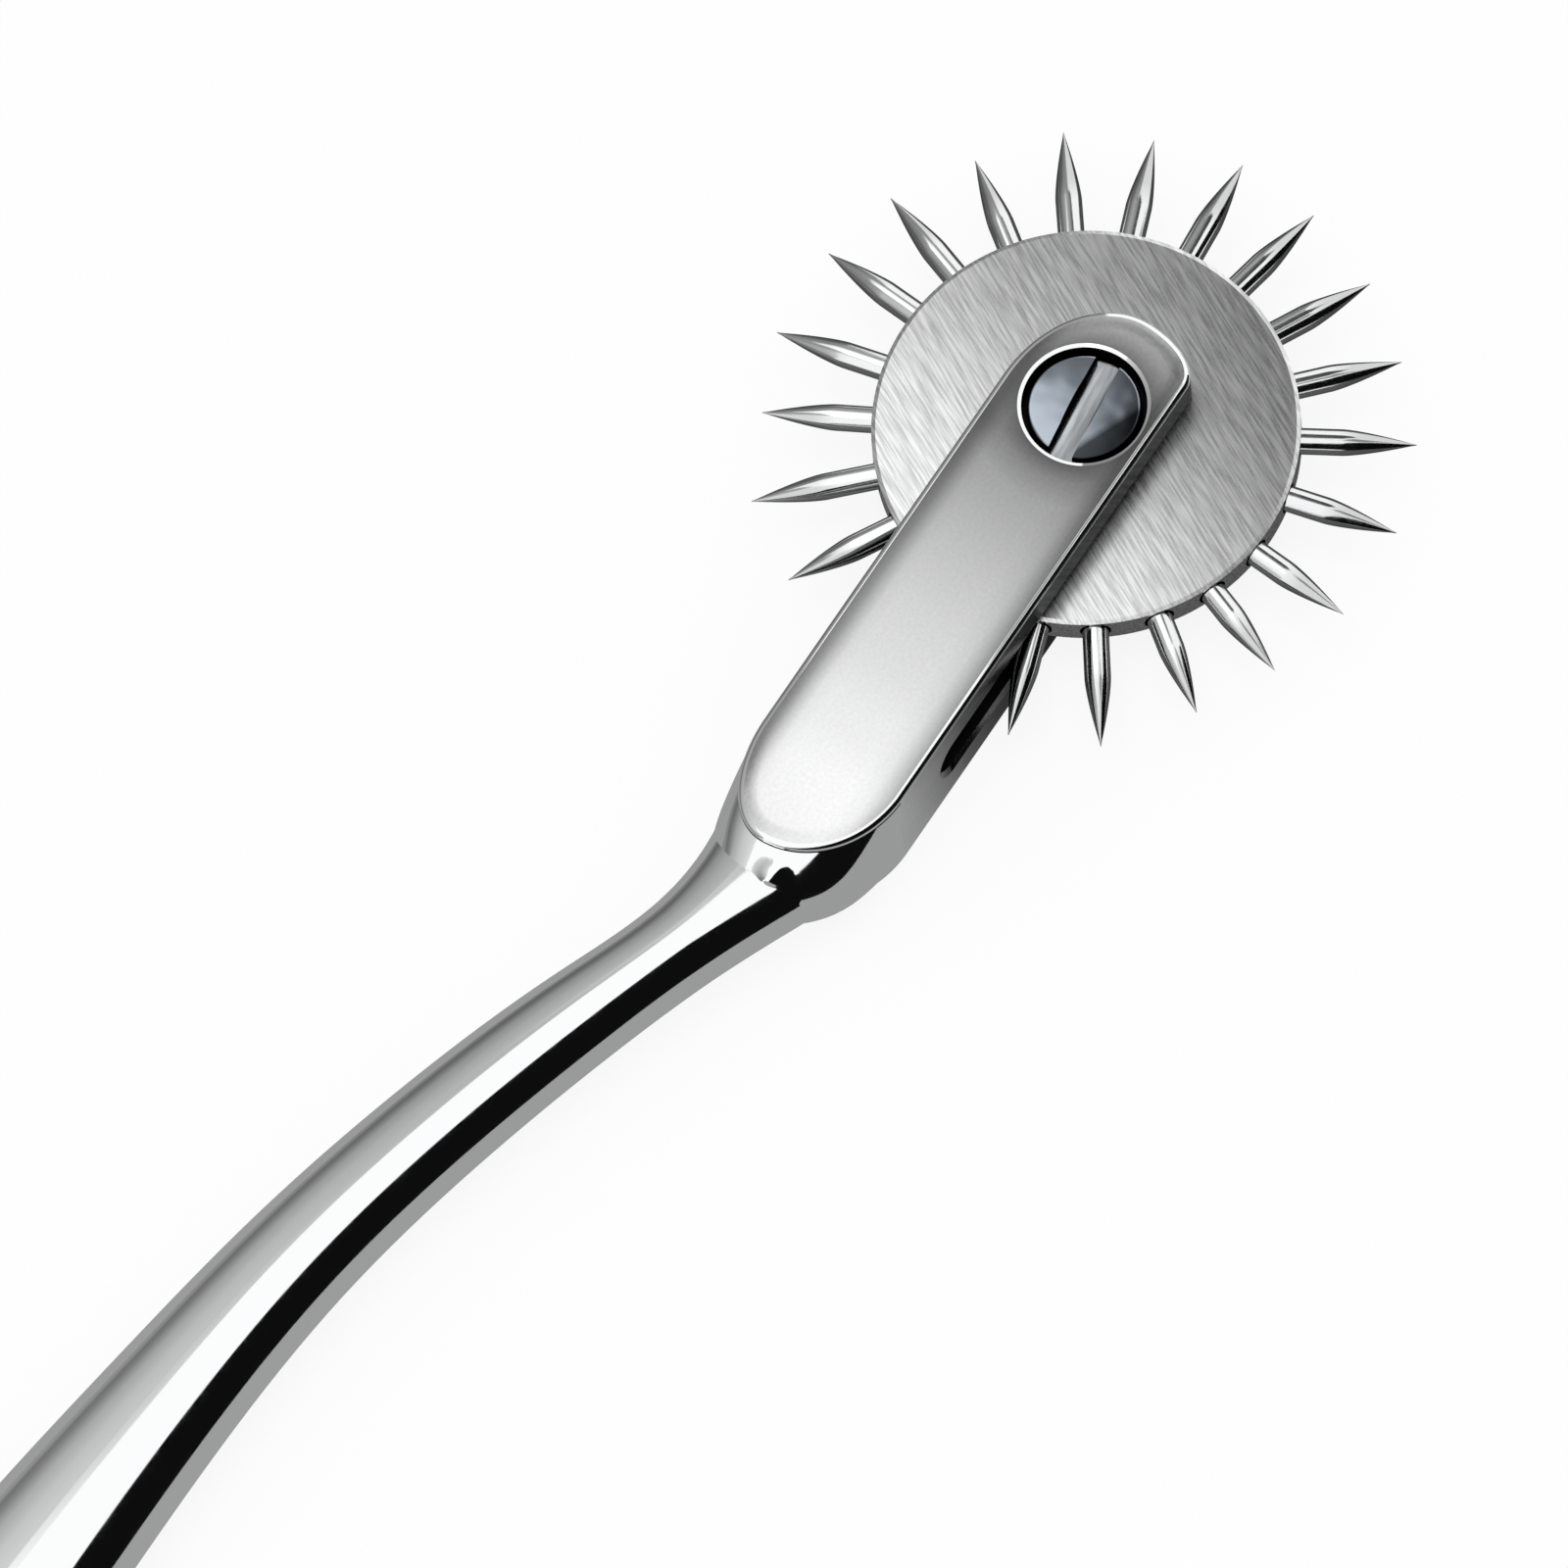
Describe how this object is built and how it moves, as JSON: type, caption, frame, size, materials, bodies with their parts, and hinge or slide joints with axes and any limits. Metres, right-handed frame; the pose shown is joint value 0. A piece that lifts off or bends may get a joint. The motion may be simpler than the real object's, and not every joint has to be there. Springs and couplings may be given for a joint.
{
  "type": "neurological pinwheel",
  "caption": "Hand-held neurological pinwheel: a curved polished steel handle ends in a fork, and a brushed disc set with sharp pins turns freely on a slotted screw between its cheeks.",
  "frame": {"origin": "the bottom centre of the whole instrument's box, which is the table that it lies on", "axes": "the instrument lies on its side: +X is along it towards the wheel, +Z is along the wheel's axis, out of the screw's head, and +Y is the side that the handle bows to"},
  "size_m": [0.19, 0.0322, 0.0072],
  "materials": {
    "polished_steel": "mirror-polished handle and fork edges, with the cheeks' flat faces satin-finished",
    "brushed_disc_steel": "straight brushed grain across both faces, with a bright bevel round the rim",
    "pin_steel": "polished, with fine grinding marks along the points",
    "screw_steel": "turned and lightly polished, slightly bluish"
  },
  "bodies": {
    "handle": {"fork_handle": "polished_steel", "axle_screw": "screw_steel"},
    "wheel": {"wheel_disc": "brushed_disc_steel", "pin_01": "pin_steel", "pin_02": "pin_steel", "pin_03": "pin_steel", "pin_04": "pin_steel", "pin_05": "pin_steel", "pin_06": "pin_steel", "pin_07": "pin_steel", "pin_08": "pin_steel", "pin_09": "pin_steel", "pin_10": "pin_steel", "pin_11": "pin_steel", "pin_12": "pin_steel", "pin_13": "pin_steel", "pin_14": "pin_steel", "pin_15": "pin_steel", "pin_16": "pin_steel", "pin_17": "pin_steel", "pin_18": "pin_steel", "pin_19": "pin_steel", "pin_20": "pin_steel", "pin_21": "pin_steel", "pin_22": "pin_steel"}
  },
  "joints": [
    {"name": "wheel_spin", "type": "hinge", "parent": "handle", "child": "wheel", "pos_m": [0.07895, -0.00029, 0.0036], "axis": [0, 0, 1], "continuous": true}
  ]
}
